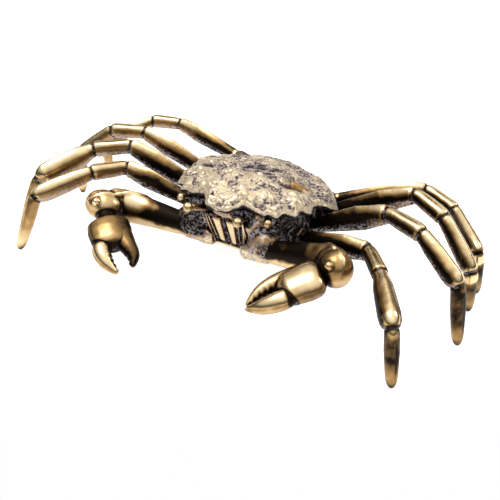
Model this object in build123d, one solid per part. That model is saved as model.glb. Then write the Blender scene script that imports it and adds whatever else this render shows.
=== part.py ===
from build123d import *
from math import cos, radians, sin, sqrt
import os

# Sizes are in millimetres, angles in degrees. The crab looks along -Y, +Z is up,
# and +X is its own left side. The sizes follow the animal from its shell outwards.

# Shell: a thin cap of a sphere, cut to the toothed outline
shell_half_width = 14.1
shell_length = 21.0
shell_front_y = -7.6
shell_thickness = 1.3
dome_radius = 28.0
dome_top_z = 15.4
dome_centre_y = 1.0
wart_radius = 1.5
wart_height = 0.35

# Half outline of the shell, from the middle of the front to the middle of the back:
# shares of the half width and of the length
shell_outline_shares = (
    (0.00, 0.00),
    (0.15, 0.01),
    (0.18, 0.06),
    (0.25, 0.115),
    (0.36, 0.115),
    (0.45, 0.12),
    (0.53, 0.15),
    (0.63, 0.14),
    (0.66, 0.235),
    (0.79, 0.26),
    (0.79, 0.33),
    (0.86, 0.375),
    (0.84, 0.47),
    (1.00, 0.66),
    (0.84, 0.80),
    (0.66, 0.95),
    (0.50, 0.985),
    (0.00, 1.00),
)
# Middles of the large warts: shares of the half width and of the length
wart_shares = (
    (0.00, 0.20),
    (0.22, 0.16),
    (0.46, 0.26),
    (0.24, 0.36),
    (0.60, 0.42),
    (0.40, 0.52),
    (0.16, 0.58),
    (0.72, 0.60),
    (0.52, 0.72),
    (0.24, 0.80),
)

# Body under the shell, as four corners of a half plan at three heights
body_top_z = 13.5
body_middle_z = 8.0
body_bottom_z = 4.2
body_front_y = -6.4
body_front_rake_angle = 19.0
body_inset = 2.7
body_half_width = shell_half_width - body_inset
body_length = 18.0
body_top_shares = ((0.37, 0.00), (0.75, 0.17), (1.00, 0.66), (0.68, 1.00))
body_middle_shares = ((0.38, 0.105), (0.72, 0.23), (0.90, 0.62), (0.60, 0.97))
body_bottom_shares = ((0.36, 0.178), (0.50, 0.29), (0.55, 0.60), (0.38, 0.88))

# Fits
seat_clearance = 0.12
peg_clearance = 0.10

# Walking legs, counted from the front: each has four segments
leg_root_inset = 3.1
rear_root_inset = 1.0
leg_root_x = shell_half_width - leg_root_inset
leg_root_y = shell_front_y + shell_length - rear_root_inset
leg_root_z = 8.0
leg_boss_radius = 1.6
leg_boss_length = 2.8
hip_x = 6.2
hip_y = 9.0
hip_z = 7.4
leg_peg_radius = 0.75
leg_peg_length = 2.2
merus_length = 14.0
merus_height = 4.2
merus_thickness = 2.6
carpus_length = 6.2
carpus_height = 2.7
carpus_thickness = 2.3
propodus_length = 9.4
propodus_height = 3.1
propodus_thickness = 2.5
dactyl_height = 2.5
dactyl_thickness = 2.1
toe_radius = 0.8
toe_flat_depth = 0.12
joint_gap = 0.45
leg_girth_shares = (1.00, 1.00, 0.94, 0.88)

# Where each leg leaves the body, front leg first: shares of the root's X, Y and Z.
# The rear right leg is set further back and higher than the rear left one.
left_root_shares = ((1.0, 0.04, 0.94), (1.0, 0.35, 0.97), (1.0, 0.70, 0.985), (0.97, 1.0, 1.04))
right_root_shares = ((1.0, 0.05, 0.99), (1.0, 0.34, 1.02), (1.0, 0.72, 1.02), (0.92, 1.24, 1.18))
hip_shares = ((1.0, 0.05, 0.9), (1.0, 0.40, 1.0), (1.0, 0.75, 1.0), (0.8, 1.0, 1.0))

# Pose of each leg. Each segment has the share of its nominal length,
# its heading from the sideways direction and its rise above the floor plane
left_merus_share = ((0.87, -11, 13), (0.99, -6, 28), (1.12, 2, 27), (1.05, 22, 12))
left_carpus_share = ((1.03, -53, 4), (1.08, -22, -1), (0.97, -23, -11), (0.97, -16, -14))
left_propodus_share = ((1.085, -58, -7), (0.935, -25, -29), (0.925, -26, -41), (1.03, -50, -9))
left_dactyl_angles = ((-32, -82), (-22, -81), (78, -80), (67, -80))
right_merus_share = ((0.85, -5, 16), (0.975, -8, 24), (1.06, -2, 21), (1.015, 11, 8))
right_carpus_share = ((1.0, -57, 4), (1.065, -25, -8), (0.97, -21, -1), (0.89, -16, 0))
right_propodus_share = ((1.055, -53, -14), (1.15, -55, -19), (0.895, -23, -39), (1.04, -46, -17))
right_dactyl_angles = ((-60, -66), (-37, -67), (-31, -86), (65, -80))

# Claws: an arm with a round wrist, a hand with its fixed finger, a movable finger.
# The right arm is set lower than the left one.
arm_root = (7.6, -4.2, 6.4)
arm_boss_radius = 1.9
arm_boss_length = 5.0
arm_peg_radius = 0.9
arm_peg_length = 2.2
arm_length = 10.9
arm_heading_angle = -10.0
left_arm_rise_angle = 15.0
right_arm_rise_angle = 7.0
arm_height = 6.0
arm_thickness = 4.6
wrist_radius = 2.8
wrist_forward = 2.6
wrist_outward = 2.6
wrist_up = 1.1
hand_length = 7.2
hand_width = 6.6
hand_thickness = 4.0
hand_peg_radius = 0.8
hand_peg_length = 1.6
hand_heading_angle = -137.5
hand_rise_angle = -19.0
hand_set_back = 1.9
finger_length = 5.0
finger_width = 2.8
finger_thickness = 2.7
finger_tip_radius = 0.45
finger_root_depth = 1.3
fixed_finger_length = 4.4

# Eyes, feelers' knobs and mouth
eye_radius = 0.75
eye_pin_radius = 0.5
eye_reach = 4.0
eye_root = (3.3, -5.0, 11.5)
eye_heading_angle = -73.0
eye_rise_angle = 22.0
knob_radius = 0.6
knob_pin_radius = 0.35
knob_reach = 2.6
knob_root = (6.6, -3.2, 11.6)
knob_heading_angle = -62.0
knob_rise_angle = 14.0
mouth_plate_width = 3.3
mouth_plate_height = 6.0
mouth_plate_thickness = 1.0
mouth_plate_depth = 0.6
mouth_middle_gap = 0.3
mouth_top_inset = 3.0
mouth_rib_width = 0.5
mouth_rib_depth = 0.25
mouth_rib_count = 3

# Flap folded under the belly
flap_front_width = 3.4
flap_rear_width = 7.4
flap_length = 9.0
flap_thickness = 1.0
flap_depth = 0.6
flap_front_y = 0.2
flap_rings = 4
flap_ring_groove = 0.35
flap_widest_share = 0.8

dome_centre = Vector(0, dome_centre_y, dome_top_z - dome_radius)
sides = {"left": 1, "right": -1}


def heading_vector(heading, rise, side):
    """Unit vector from a heading off the sideways direction and a rise off level."""
    level = cos(radians(rise))
    return Vector(side * level * cos(radians(heading)), level * sin(radians(heading)), sin(radians(rise)))


def mirrored(place, side):
    return Vector(side * place[0], place[1], place[2])


def section_plane(centre, axis):
    """Plane square to an axis, whose local Y points as far up as it can."""
    level = Vector(-axis.Y, axis.X, 0)
    if level.length < abs(axis.Z) / 50:
        level = Vector(0, 1, 0)
    return Plane(origin=centre, x_dir=level, z_dir=axis)


def oval(plane, half_width, half_height):
    """Oval face on a plane, made of four quarter arcs."""
    arcs = [
        EllipticalCenterArc((0, 0), half_width, half_height, start_angle=quarter, arc_size=90)
        for quarter in (0, 90, 180, 270)
    ]
    return plane * make_face(Wire(arcs))


def tapered_limb(start, end, height, thickness, stations):
    """Loft of ovals: each station is a share of the length, the height and the thickness."""
    axis = (end - start).normalized()
    length = (end - start).length
    rings = []
    for along_share, height_share, thickness_share in stations:
        ring_plane = section_plane(start + axis * (along_share * length), axis)
        rings.append(oval(ring_plane, thickness * thickness_share / 2, height * height_share / 2))
    return loft(rings)


def peg(root, axis, radius, length):
    """Round peg that starts at root and runs back against the axis."""
    return Plane(origin=root - axis * length, z_dir=axis) * Cylinder(
        radius, length, align=(Align.CENTER, Align.CENTER, Align.MIN)
    )


def ball(centre, radius, axis=Vector(0, 0, 1)):
    """Ball whose poles lie on an axis, so that what it joins meets it round a pole."""
    return Plane(origin=centre, z_dir=axis) * Sphere(radius)


# Stations along each kind of segment: shares of its length, height and thickness
merus_shares = ((0.0, 0.52, 0.85), (0.3, 0.78, 1.0), (0.7, 1.0, 1.0), (1.0, 0.70, 0.92))
carpus_shares = ((0.0, 0.80, 0.85), (0.4, 1.0, 1.0), (0.8, 1.0, 1.0), (1.0, 0.85, 0.9))
propodus_shares = ((0.0, 0.74, 0.8), (0.3, 0.92, 0.92), (0.75, 1.0, 1.0), (1.0, 0.84, 0.9))
dactyl_shares = ((0.0, 0.92, 0.95), (0.3, 1.0, 1.0), (0.75, 0.80, 0.84), (1.0, 0.56, 0.62))
elbow_shares = ((0.0, 0.70, 0.8), (1.0, 0.70, 0.8))
arm_shares = ((0.0, 0.60, 0.75), (0.35, 0.95, 1.0), (0.8, 1.0, 1.0), (1.0, 0.82, 0.9))
hand_shares = ((0.0, 0.66, 0.62), (0.2, 0.96, 0.9), (0.55, 1.0, 1.0), (1.0, 0.80, 0.86))
# Fingers: girth at the root, knuckle and tip, and how far each stands off the hand's middle
finger_shares = (0.9, 0.95, 0.32)
finger_spread_shares = (0.25, 0.31, 0.11)


def plan_outline(half_points, z):
    """Closed flat outline from the points of its left half, front to back."""
    left = [(x, y, z) for x, y in half_points]
    right = [(-x, y, z) for x, y in reversed(half_points) if x > 0]
    return make_face(Polyline(*left, *right, close=True))


def shell_point(x_share, y_share):
    return (x_share * shell_half_width, shell_front_y + y_share * shell_length)


def wart(x, y):
    """Low round bump whose top stands above the dome."""
    height = sqrt(dome_radius**2 - x**2 - (y - dome_centre_y) ** 2)
    outward = Vector(x, y - dome_centre_y, height).normalized()
    return ball(dome_centre + outward * (dome_radius + wart_height - wart_radius), wart_radius)


def make_shell():
    outline = plan_outline([shell_point(*shares) for shares in shell_outline_shares], 0)
    cap = extrude(outline, amount=dome_top_z + wart_height) & ball(dome_centre, dome_radius)
    warts = []
    for x_share, y_share in wart_shares:
        x, y = shell_point(x_share, y_share)
        warts += [wart(place, y) for place in sorted({-x, x})]
    rooms = [ball(dome_centre, dome_radius - shell_thickness)]
    for side in sides.values():
        rooms += eye_room(side) + knob_room(side)
    return cap.fuse(*warts).cut(*rooms)


def peg_room(root, axis, radius, length):
    return peg(root, axis, radius + peg_clearance, length + peg_clearance)


def eye_axis(side):
    return heading_vector(eye_heading_angle, eye_rise_angle, side)


def eye_tip(side):
    return mirrored(eye_root, side) + eye_axis(side) * eye_reach


def knob_axis(side):
    return heading_vector(knob_heading_angle, knob_rise_angle, side)


def knob_tip(side):
    return mirrored(knob_root, side) + knob_axis(side) * knob_reach


def eye_room(side):
    pin_room = peg_room(eye_tip(side), eye_axis(side), eye_pin_radius, eye_reach)
    return [pin_room, ball(eye_tip(side), eye_radius + seat_clearance)]


def knob_room(side):
    pin_room = peg_room(knob_tip(side), knob_axis(side), knob_pin_radius, knob_reach)
    return [pin_room, ball(knob_tip(side), knob_radius + seat_clearance)]


def make_eye(side):
    tip = eye_tip(side)
    return peg(tip, eye_axis(side), eye_pin_radius, eye_reach) + ball(tip, eye_radius)


def make_knob(side):
    tip = knob_tip(side)
    return peg(tip, knob_axis(side), knob_pin_radius, knob_reach) + ball(tip, knob_radius)


def scaled_place(sizes, shares, side):
    return Vector(side * sizes[0] * shares[0], sizes[1] * shares[1], sizes[2] * shares[2])


def leg_root(number, side):
    shares = left_root_shares if side > 0 else right_root_shares
    return scaled_place((leg_root_x, leg_root_y, leg_root_z), shares[number], side)


def merus_axis(number, side):
    length_share, heading, rise = leg_pose(side)[0][number]
    return heading_vector(heading, rise, side)


def leg_pose(side):
    if side > 0:
        return left_merus_share, left_carpus_share, left_propodus_share, left_dactyl_angles
    return right_merus_share, right_carpus_share, right_propodus_share, right_dactyl_angles


def make_leg(number, side):
    girth = leg_girth_shares[number]
    merus_pose, carpus_pose, propodus_pose, dactyl_pose = leg_pose(side)
    pieces = (
        (merus_length, merus_height, merus_thickness, merus_shares, merus_pose[number]),
        (carpus_length, carpus_height, carpus_thickness, carpus_shares, carpus_pose[number]),
        (propodus_length, propodus_height, propodus_thickness, propodus_shares, propodus_pose[number]),
    )
    headings = [piece[-1][1:] for piece in pieces] + [dactyl_pose[number]]
    axes = [heading_vector(heading, rise, side) for heading, rise in headings]
    start = leg_root(number, side)
    solids = [peg(start + axes[0] * joint_gap, axes[0], leg_peg_radius, leg_peg_length + joint_gap)]
    for (length, height, thickness, stations, pose), axis, next_axis in zip(pieces, axes, axes[1:]):
        end = start + axis * (length * pose[0])
        first = start if len(solids) == 1 else start + axis * joint_gap
        last = end - axis * joint_gap
        solids.append(tapered_limb(first, last, height * girth, thickness * girth, stations))
        knuckle_radius = thickness * girth * stations[-1][1] / 2
        solids.append(ball(end, knuckle_radius, (axis + next_axis).normalized()))
        start = end
    axis = axes[-1]
    toe_centre_height = toe_radius - toe_flat_depth
    toe = start + axis * ((start.Z - toe_centre_height) / -axis.Z)
    first = start + axis * joint_gap
    solids.append(
        tapered_limb(first, toe, dactyl_height * girth, dactyl_thickness * girth, dactyl_shares)
    )
    floor_size = 4 * toe_radius
    floor_block = Box(floor_size, floor_size, floor_size, align=(Align.CENTER, Align.CENTER, Align.MAX))
    solids.append(ball(toe, toe_radius, axis) - Pos(toe.X, toe.Y, 0) * floor_block)
    return solids[0].fuse(*solids[1:])


def arm_axis(side):
    rise_angle = left_arm_rise_angle if side > 0 else right_arm_rise_angle
    return heading_vector(arm_heading_angle, rise_angle, side)


def hand_axis(side):
    return heading_vector(hand_heading_angle, hand_rise_angle, side)


def wrist_centre(side):
    arm_end = mirrored(arm_root, side) + arm_axis(side) * arm_length
    return arm_end + mirrored((wrist_outward, -wrist_forward, wrist_up), side)


def hand_start(side):
    return wrist_centre(side) + hand_axis(side) * hand_set_back


def hand_sideways(side):
    """Direction across the hand, from the fixed finger to the movable one."""
    return section_plane(hand_start(side), hand_axis(side)).x_dir * side


def make_arm(side):
    root = mirrored(arm_root, side)
    axis = arm_axis(side)
    upper_arm = tapered_limb(root, root + axis * arm_length, arm_height, arm_thickness, arm_shares)
    arm_peg = peg(root + axis * joint_gap, axis, arm_peg_radius, arm_peg_length + joint_gap)
    centre = wrist_centre(side)
    elbow = tapered_limb(root + axis * arm_length, centre, arm_height, arm_thickness, elbow_shares)
    arm = upper_arm.fuse(arm_peg, elbow, ball(centre, wrist_radius, (centre - root).normalized()))
    start = hand_start(side)
    axis = hand_axis(side)
    facet_size = 3 * wrist_radius
    facet = Plane(origin=start, z_dir=axis) * Box(
        facet_size, facet_size, facet_size, align=(Align.CENTER, Align.CENTER, Align.MIN)
    )
    mouth = start + axis * peg_clearance
    return arm.cut(facet, peg_room(mouth, axis, hand_peg_radius, hand_peg_length + peg_clearance))


def finger_points(side, sign, length):
    """Root, knuckle and tip of a finger on one side of the hand."""
    along = hand_axis(side)
    across = hand_sideways(side) * sign
    first = hand_start(side) + along * (hand_length - finger_root_depth)
    steps = (0, length / 2, length)
    return [
        first + along * step + across * (hand_width * spread)
        for step, spread in zip(steps, finger_spread_shares)
    ]


def make_finger(side, sign, length, extra):
    points = finger_points(side, sign, length)
    along = hand_axis(side)
    rings = []
    for centre, share in zip(points, finger_shares):
        half_width = finger_width * share / 2 + extra
        half_height = finger_thickness * share / 2 + extra
        rings.append(oval(section_plane(centre, along), half_width, half_height))
    return loft(rings) + ball(points[-1], finger_tip_radius + extra, along)


def make_hand(side):
    start = hand_start(side)
    axis = hand_axis(side)
    palm = tapered_limb(start, start + axis * hand_length, hand_thickness, hand_width, hand_shares)
    hand_peg = peg(start + axis * joint_gap, axis, hand_peg_radius, hand_peg_length + joint_gap)
    fixed_finger = make_finger(side, -1, fixed_finger_length + finger_root_depth, 0)
    finger_room = make_finger(side, 1, finger_length + finger_root_depth, seat_clearance)
    return palm.fuse(hand_peg, fixed_finger).cut(finger_room)


def body_level(shares, z):
    points = [
        (x_share * body_half_width, body_front_y + y_share * body_length) for x_share, y_share in shares
    ]
    return plan_outline(points, z)


def mouth_plane():
    """Plane of the front face: local X is sideways, local Z points out of the face."""
    rake = radians(body_front_rake_angle)
    top = Vector(0, body_front_y, body_top_z)
    return Plane(origin=top, x_dir=(1, 0, 0), z_dir=(0, -cos(rake), -sin(rake)))


def mouth_plate(side, extra):
    """One mouth plate as a block on the front face, or the room for it with extra all round."""
    centre_x = side * (mouth_middle_gap + mouth_plate_width) / 2
    centre_y = -(mouth_top_inset + mouth_plate_height / 2)
    place = mouth_plane() * Pos(centre_x, centre_y, mouth_plate_thickness / 2 - mouth_plate_depth)
    return place * Box(
        mouth_plate_width + 2 * extra, mouth_plate_height + 2 * extra, mouth_plate_thickness + 2 * extra
    )


def make_mouth_plate(side):
    plate = mouth_plate(side, 0)
    rib_step = mouth_plate_width / (mouth_rib_count + 1)
    for rib in range(mouth_rib_count):
        x = side * (mouth_middle_gap / 2 + (rib + 1) * rib_step)
        y = -(mouth_top_inset + mouth_plate_height / 2)
        z = mouth_plate_thickness - mouth_plate_depth
        place = mouth_plane() * Pos(x, y, z)
        plate -= place * Box(mouth_rib_width, mouth_plate_height, 2 * mouth_rib_depth)
    return plate


def flap_outline(extra, z):
    half = [
        (flap_front_width / 2 + extra, flap_front_y - extra),
        (flap_rear_width / 2 + extra, flap_front_y + flap_widest_share * flap_length),
        (flap_rear_width / 3 + extra, flap_front_y + flap_length + extra),
    ]
    return plan_outline(half, z)


def make_flap():
    flap_bottom = body_bottom_z - flap_thickness + flap_depth
    flap = extrude(flap_outline(0, flap_bottom), amount=flap_thickness)
    for ring in range(1, flap_rings + 1):
        y = flap_front_y + ring * flap_length / (flap_rings + 1)
        flap -= Pos(0, y, flap_bottom) * Box(flap_rear_width, flap_ring_groove, flap_ring_groove)
    return flap


def boss(root, axis, radius):
    """Round boss that carries a peg, flush with the limb's root."""
    return peg(root, axis, radius, leg_boss_length)


def hip(number, side):
    """Boss of a leg and the short arm that joins it to the middle of the body."""
    radius = leg_boss_radius * leg_girth_shares[number]
    axis = merus_axis(number, side)
    elbow = leg_root(number, side) - axis * leg_boss_length
    inner = scaled_place((hip_x, hip_y, hip_z), hip_shares[number], side)
    reach = elbow - inner
    inward = peg(elbow, reach.normalized(), radius, reach.length)
    return [boss(leg_root(number, side), axis, radius), ball(elbow, radius, axis), inward]


def make_body():
    core = loft(
        [
            body_level(body_bottom_shares, body_bottom_z),
            body_level(body_middle_shares, body_middle_z),
            body_level(body_top_shares, body_top_z),
        ],
        ruled=True,
    )
    core = core & ball(dome_centre, dome_radius - shell_thickness - seat_clearance)
    bosses = []
    rooms = []
    for side in sides.values():
        for number in range(len(leg_girth_shares)):
            root = leg_root(number, side)
            bosses += hip(number, side)
            rooms.append(peg_room(root, merus_axis(number, side), leg_peg_radius, leg_peg_length))
        shoulder = mirrored(arm_root, side)
        bosses.append(peg(shoulder, arm_axis(side), arm_boss_radius, arm_boss_length))
        rooms.append(peg_room(shoulder, arm_axis(side), arm_peg_radius, arm_peg_length))
        rooms += eye_room(side) + knob_room(side)
        rooms.append(mouth_plate(side, seat_clearance))
    flap_room_depth = flap_depth + seat_clearance
    flap_room_outline = flap_outline(seat_clearance, body_bottom_z - flap_room_depth)
    rooms.append(extrude(flap_room_outline, amount=2 * flap_room_depth))
    return core.fuse(*bosses).cut(*rooms)


def make_all():
    nodes = {"shell": make_shell(), "body": make_body(), "belly_flap": make_flap()}
    for name, side in sides.items():
        nodes[f"mouth_plate_{name}"] = make_mouth_plate(side)
        nodes[f"eye_{name}"] = make_eye(side)
        nodes[f"feeler_knob_{name}"] = make_knob(side)
        nodes[f"claw_arm_{name}"] = make_arm(side)
        nodes[f"claw_hand_{name}"] = make_hand(side)
        nodes[f"claw_finger_{name}"] = make_finger(side, 1, finger_length + finger_root_depth, 0)
        for number in range(len(leg_girth_shares)):
            nodes[f"leg_{number + 1}_{name}"] = make_leg(number, side)
    return nodes


nodes = make_all()
box = Compound(children=[shape.moved(Location()) for shape in nodes.values()]).bounding_box()
centre = box.center()
os.makedirs("parts", exist_ok=True)
for node_name, shape in nodes.items():
    export_step(Pos(-centre.X, -centre.Y, -box.min.Z) * shape, f"parts/{node_name}.step")
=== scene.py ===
# %% [markdown]
# # A cast brass crab
#
# The object is a small ornament: a shore crab cast in brass, darkened with a brown-black patina and
# buffed again on everything that stands out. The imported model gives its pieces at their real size.
# Each step below swaps one plain solid for a mesh with the real piece's ridges, grooves and grain.

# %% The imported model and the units
from math import cos, pi, radians, sin

import bmesh
import bpy
import numpy as np
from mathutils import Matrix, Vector, noise


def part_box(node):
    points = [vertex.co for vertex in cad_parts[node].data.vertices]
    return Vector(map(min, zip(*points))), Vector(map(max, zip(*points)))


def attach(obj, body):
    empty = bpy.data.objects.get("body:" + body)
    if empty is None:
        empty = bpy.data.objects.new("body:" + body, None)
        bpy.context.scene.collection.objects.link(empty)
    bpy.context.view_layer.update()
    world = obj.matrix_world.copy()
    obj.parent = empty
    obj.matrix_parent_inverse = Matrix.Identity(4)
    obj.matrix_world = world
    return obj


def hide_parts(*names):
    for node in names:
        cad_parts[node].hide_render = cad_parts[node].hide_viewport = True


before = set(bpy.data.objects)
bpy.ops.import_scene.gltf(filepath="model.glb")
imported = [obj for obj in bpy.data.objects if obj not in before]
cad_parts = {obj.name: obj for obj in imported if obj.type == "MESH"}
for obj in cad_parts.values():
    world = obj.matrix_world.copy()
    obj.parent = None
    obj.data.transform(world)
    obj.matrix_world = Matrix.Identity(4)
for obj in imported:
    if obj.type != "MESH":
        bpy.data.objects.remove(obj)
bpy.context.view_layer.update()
mm = 0.001
sides = {"left": 1, "right": -1}
print("pieces in the packed model:", len(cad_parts))

# %% [markdown]
# The scene places its pieces from the same sizes as the solids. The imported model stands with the
# middle of its box at the origin, so the shell's box tells how far everything was shifted for that.

# %% The shift from the crab's own middle
shell_half_width = 14.1
shell_length = 21.0
shell_front_y = -7.6
shell_low, shell_high = (np.array(corner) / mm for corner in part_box("shell"))
shift = np.array(((shell_low[0] + shell_high[0]) / 2, shell_low[1] - shell_front_y, 0.0))
print("shift in mm:", shift.round(3))


def at(x, y, z, side=1):
    """A place in millimetres in the crab's own frame, mirrored for the right side."""
    return np.array((side * x, y, z), float)


def direction(heading, rise, side=1):
    """Unit vector from a heading off the sideways direction and a rise off level."""
    heading, rise = radians(heading), radians(rise)
    return at(cos(rise) * cos(heading), cos(rise) * sin(heading), sin(rise), side)


# %% [markdown]
# Every mesh is made the same way: arrays of points in millimetres become a Blender mesh in metres.
# A limb is a stack of rings, closed by a point at each end, so it has no stray faces and no holes.

# %% Points to meshes
def new_object(name, data):
    made = bpy.data.objects.new(name, data)
    bpy.context.scene.collection.objects.link(made)
    return made


def mesh_object(name, points, faces):
    """A new smooth-shaded object from points in millimetres in the crab's own frame."""
    mesh = bpy.data.meshes.new(name)
    mesh.from_pydata(((points + shift) * mm).tolist(), [], faces)
    shape = bmesh.new()
    shape.from_mesh(mesh)
    bmesh.ops.recalc_face_normals(shape, faces=shape.faces)
    shape.to_mesh(mesh)
    shape.free()
    mesh.update()
    mesh.polygons.foreach_set("use_smooth", [True] * len(mesh.polygons))
    return new_object(name, mesh)


def skin(rings):
    """Closed surface over rings of shape (count, around, 3): its points and its faces."""
    count, around, _ = rings.shape
    points = np.vstack((rings.reshape(-1, 3), rings[0].mean(0), rings[-1].mean(0)))
    faces = []
    for row in range(count - 1):
        for column in range(around):
            after = (column + 1) % around
            low, high = row * around, (row + 1) * around
            faces.append((low + column, low + after, high + after, high + column))
    last = (count - 1) * around
    for column in range(around):
        after = (column + 1) % around
        faces.append((count * around, after, column))
        faces.append((count * around + 1, last + column, last + after))
    return points, faces


def fade(low, high, value):
    """From 0 at low to 1 at high, smoothly, and steady beyond both."""
    share = np.clip((value - low) / (high - low), 0, 1)
    return share * share * (3 - 2 * share)


def bump(distance, width):
    """From 1 in the middle to 0 far away."""
    return np.exp(-((distance / width) ** 2))


def noise_at(points, size, seed=0.0):
    """Smooth noise from -1 to 1 at each point, with lumps of about that size in millimetres."""
    offset = Vector((seed, 2 * seed, -seed))
    return np.array([noise.noise(Vector(point) / size + offset) for point in points])


def noises(points, terms):
    """Sum of noises, each of some height, size and seed."""
    return sum(height * noise_at(points, size, seed) for height, size, seed in terms)


# %% [markdown]
# A cross-section is an oval whose upper and lower halves can be pinched to a ridge or flattened.
# A power near 1 pinches, 2 is a true oval and 3 or more is a flat with round corners.

# %% Cross-sections and limbs
around_limb = 56
furrow_width = 0.32
# The least share of a closed end, squared
end_least = 0.0004
# On a limb steeper than this, level turns by only a share at each ring
steep_axis, turn_share = 0.9, 0.3


def section(width, height, top, bottom, furrow):
    angle = np.arange(around_limb) * 2 * pi / around_limb
    across, upward = np.cos(angle), np.sin(angle)
    power = np.where(upward >= 0, top, bottom)
    rise = np.sign(upward) * np.sqrt(np.clip(1 - np.abs(across) ** power, 0, 1))
    rise -= np.where(upward > 0, furrow * bump(across, furrow_width), 0)
    return across * width / 2, rise * height / 2


def ring(centre, axis, level, shape):
    """One cross-section set square to the axis."""
    level = level - axis * (level @ axis)
    level = level / np.linalg.norm(level)
    upward = np.cross(axis, level)
    across, rise = section(*shape)
    return centre + np.outer(across, level) + np.outer(rise, upward)


def level_of(axis):
    return np.array((-axis[1], axis[0], 0.0)) / max(np.hypot(axis[0], axis[1]), 1e-6)


def unit(vector):
    return vector / np.linalg.norm(vector)


def stations(table, places):
    """Every column of a table of stations, between its rows at the places along its first one."""
    first, *rest = np.array(table).T
    return [np.interp(places, first, column) for column in rest]


def rounded_ends(share, length, reach):
    """Factor that closes both ends of a limb like a ball."""
    to_end = np.minimum(share, 1 - share) * length
    return np.sqrt(np.clip(1 - (1 - np.clip(to_end / reach, 0, 1)) ** 2, end_least, 1))


def limb(centres, shapes):
    """Rings along a curved line of centres, one shape for each."""
    axes = np.gradient(centres, axis=0)
    rings = []
    level = level_of(unit(axes[0]))
    for centre, axis, shape in zip(centres, axes, shapes):
        axis = unit(axis)
        wanted = level_of(axis)
        wanted = wanted if wanted @ level > 0 else -wanted
        if abs(axis[2]) > steep_axis:
            wanted = unit((1 - turn_share) * level + turn_share * wanted)
        level = wanted
        rings.append(ring(centre, axis, level, shape))
    return np.array(rings)


# %% [markdown]
# ## The walking legs
#
# Each leg is one casting with four segments: a long flat thigh with a sharp upper ridge, a short
# knee piece with two ridges, a shin, and a slender toe. The lines between them are cut grooves with
# a raised lip. One unbroken skin over all four keeps the grooves clean.

# %% Where the legs go
leg_root = (11.0, 12.4, 8.0)
segment_lengths = (14.0, 6.2, 9.4)
leg_girth_shares = (1.00, 1.00, 0.94, 0.88)
toe_centre_height = 0.68
# Shares of the root's place, for each leg of the left and of the right side
root_shares = {
    1: ((1.0, 0.04, 0.94), (1.0, 0.35, 0.97), (1.0, 0.70, 0.985), (0.97, 1.0, 1.04)),
    -1: ((1.0, 0.05, 0.99), (1.0, 0.34, 1.02), (1.0, 0.72, 1.02), (0.92, 1.24, 1.18)),
}
# Share of the segment's length, heading and rise: thigh, knee piece and shin of each leg
segment_shares = {
    1: (
        ((0.87, -11, 13), (1.03, -53, 4), (1.085, -58, -7)),
        ((0.99, -6, 28), (1.08, -22, -1), (0.935, -25, -29)),
        ((1.12, 2, 27), (0.97, -23, -11), (0.925, -26, -41)),
        ((1.05, 22, 12), (0.97, -16, -14), (1.03, -50, -9)),
    ),
    -1: (
        ((0.85, -5, 16), (1.0, -57, 4), (1.055, -53, -14)),
        ((0.975, -8, 24), (1.065, -25, -8), (1.15, -55, -19)),
        ((1.06, -2, 21), (0.97, -21, -1), (0.895, -23, -39)),
        ((1.015, 11, 8), (0.89, -16, 0), (1.04, -46, -17)),
    ),
}
# Heading and rise of each toe
toe_angles = {
    1: ((-32, -82), (-22, -81), (78, -80), (67, -80)),
    -1: ((-60, -66), (-37, -67), (-31, -86), (65, -80)),
}


def leg_corners(number, side):
    """Root, three joints and toe of a leg."""
    root = (size * share for size, share in zip(leg_root, root_shares[side][number]))
    corners = [at(*root, side)]
    for length, (share, heading, rise) in zip(segment_lengths, segment_shares[side][number]):
        corners.append(corners[-1] + direction(heading, rise, side) * length * share)
    down = direction(*toe_angles[side][number], side)
    corners.append(corners[-1] + down * ((corners[-1][2] - toe_centre_height) / -down[2]))
    return np.array(corners)


print("first left leg's corners:", leg_corners(0, 1).round(1).tolist())

# %% [markdown]
# The girth of a leg is a table of stations: where along each segment, how high and how thick, how
# sharp the top and the bottom are, and how deep the furrow along the top is.

# %% A leg's girth and its skin
# Segment and share along it; height and thickness in mm; top and bottom sharpness; furrow
leg_stations = (
    (0.00, 2.3, 2.3, 1.9, 1.9, 0.0),
    (0.25, 3.1, 2.5, 1.35, 1.7, 0.0),
    (0.65, 4.1, 2.7, 1.25, 1.5, 0.0),
    (0.93, 3.3, 2.6, 1.35, 1.6, 0.0),
    (0.98, 3.0, 2.45, 1.5, 1.7, 0.0),
    (1.02, 2.6, 2.25, 1.8, 1.8, 0.0),
    (1.10, 2.6, 2.2, 2.0, 1.9, 0.05),
    (1.40, 2.8, 2.35, 2.1, 1.8, 0.14),
    (1.85, 2.95, 2.45, 2.0, 1.7, 0.12),
    (1.96, 2.8, 2.35, 1.8, 1.8, 0.04),
    (2.01, 2.55, 2.2, 1.8, 1.8, 0.0),
    (2.10, 2.65, 2.2, 1.6, 1.8, 0.0),
    (2.45, 3.05, 2.45, 1.4, 1.6, 0.0),
    (2.75, 3.2, 2.6, 1.5, 1.7, 0.0),
    (2.88, 3.0, 2.45, 1.7, 1.8, 0.0),
    (2.98, 2.6, 2.25, 1.9, 1.9, 0.0),
    (3.015, 2.25, 2.05, 2.0, 2.0, 0.0),
    (3.08, 2.25, 2.05, 2.0, 2.0, 0.0),
    (3.40, 2.4, 2.1, 1.7, 1.7, 0.12),
    (3.80, 2.0, 1.8, 1.8, 1.8, 0.1),
    (4.00, 1.5, 1.4, 2.0, 2.0, 0.0),
)
# How dark steep faces are on each side, as painted reflection of the dark studio walls, and the
# slopes where that starts and is full
leg_steeps = {1: 0.95, -1: 0.7}
leg_slopes = {1: (0.86, 0.25), -1: (0.8, 0.15)}
# How dark the toes are on each side, the left's extra dark being painted shade, and what their
# tips lose of it
toe_tones = {1: 0.42, -1: 0.2}
tip_light = 0.38
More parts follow.
